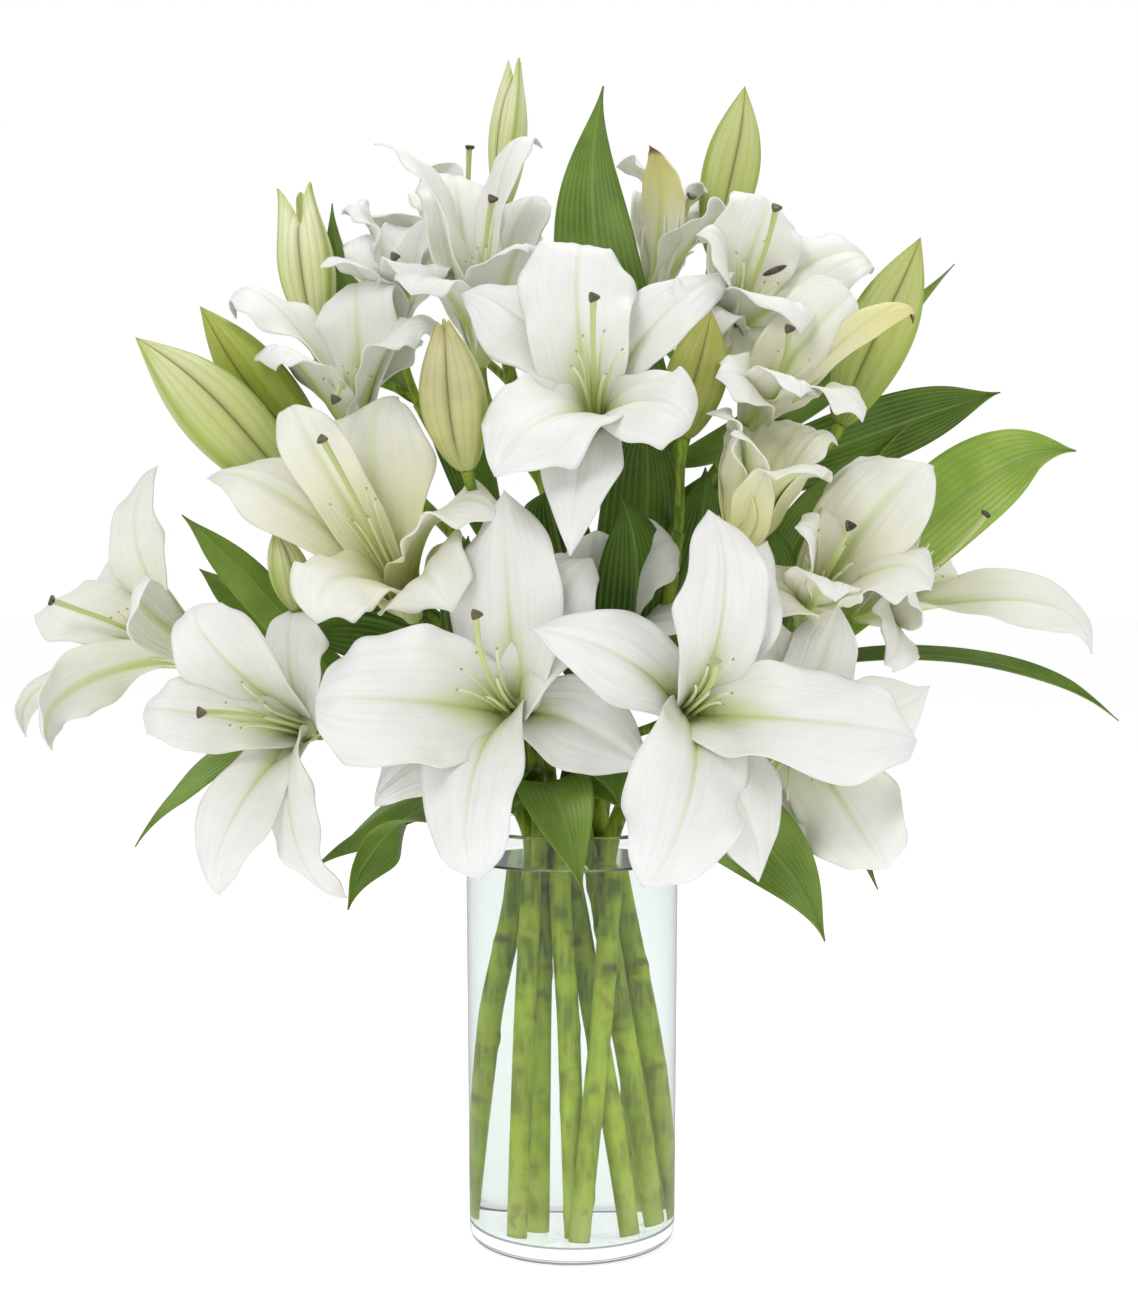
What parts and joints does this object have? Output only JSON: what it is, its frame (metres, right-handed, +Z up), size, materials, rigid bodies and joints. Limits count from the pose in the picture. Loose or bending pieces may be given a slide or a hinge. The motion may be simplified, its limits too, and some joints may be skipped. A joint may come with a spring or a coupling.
{
  "type": "cut lilies in a glass cylinder vase",
  "caption": "Cut white lilies with open blooms, buds and leaves, standing in water in a clear glass cylinder vase.",
  "frame": {"origin": "centre of the vase's flat underside", "axes": "+Z up along the vase, the bouquet's front faces -Y, +X to the right as seen from the front"},
  "size_m": [0.5363, 0.3207, 0.597],
  "materials": {
    "glass": "clear polished glass",
    "water": "clear water",
    "stem_green": "smooth waxy stem with brown leaf scars",
    "petal_white": "soft satin white petal with a green-yellow throat",
    "pistil_green": "satin pale green style with a dark brown stigma",
    "bud_green": "satin green to cream bud",
    "leaf_green": "waxy dark green leaf with lighter parallel veins"
  },
  "bodies": {
    "root": {"bloom_centre_high": "petal_white", "bloom_far_left": "petal_white", "bloom_far_right": "petal_white", "bloom_front_centre": "petal_white", "bloom_front_right": "petal_white", "bloom_half_open": "petal_white", "bloom_inner": "petal_white", "bloom_left": "petal_white", "bloom_left_high": "petal_white", "bloom_left_low": "petal_white", "bloom_right": "petal_white", "bloom_right_high": "petal_white", "bloom_right_low": "petal_white", "bloom_top_left": "petal_white", "bloom_top_left_rear": "petal_white", "bloom_top_rear": "petal_white", "bloom_top_right": "petal_white", "bloom_top_right_rear": "petal_white", "bud_centre": "bud_green", "bud_far_left": "bud_green", "bud_far_right": "bud_green", "bud_left": "bud_green", "bud_left_opened": "bud_green", "bud_left_small": "bud_green", "bud_right_centre": "bud_green", "bud_top": "bud_green", "bud_top_right": "bud_green", "leaf_front": "leaf_green", "leaf_left_drooping": "leaf_green", "leaf_left_low": "leaf_green", "leaf_left_middle": "leaf_green", "leaf_left_under": "leaf_green", "leaf_left_upper": "leaf_green", "leaf_left_upright": "leaf_green", "leaf_rear_left": "leaf_green", "leaf_rear_right": "leaf_green", "leaf_right_long": "leaf_green", "leaf_right_low": "leaf_green", "leaf_right_middle": "leaf_green", "leaf_right_pale": "leaf_green", "leaf_right_slender": "leaf_green", "leaf_right_under": "leaf_green", "leaf_right_upper": "leaf_green", "leaf_top": "leaf_green", "pistil_centre_high": "pistil_green", "pistil_front_centre": "pistil_green", "pistil_front_right": "pistil_green", "pistil_left": "pistil_green", "stem_far_left": "stem_green", "stem_far_right": "stem_green", "stem_front_left": "stem_green", "stem_front_middle": "stem_green", "stem_front_right": "stem_green", "stem_left_leaning": "stem_green", "stem_middle_left": "stem_green", "stem_rear": "stem_green", "stem_right_inner": "stem_green", "vase": "glass", "water": "water"}
  },
  "joints": []
}
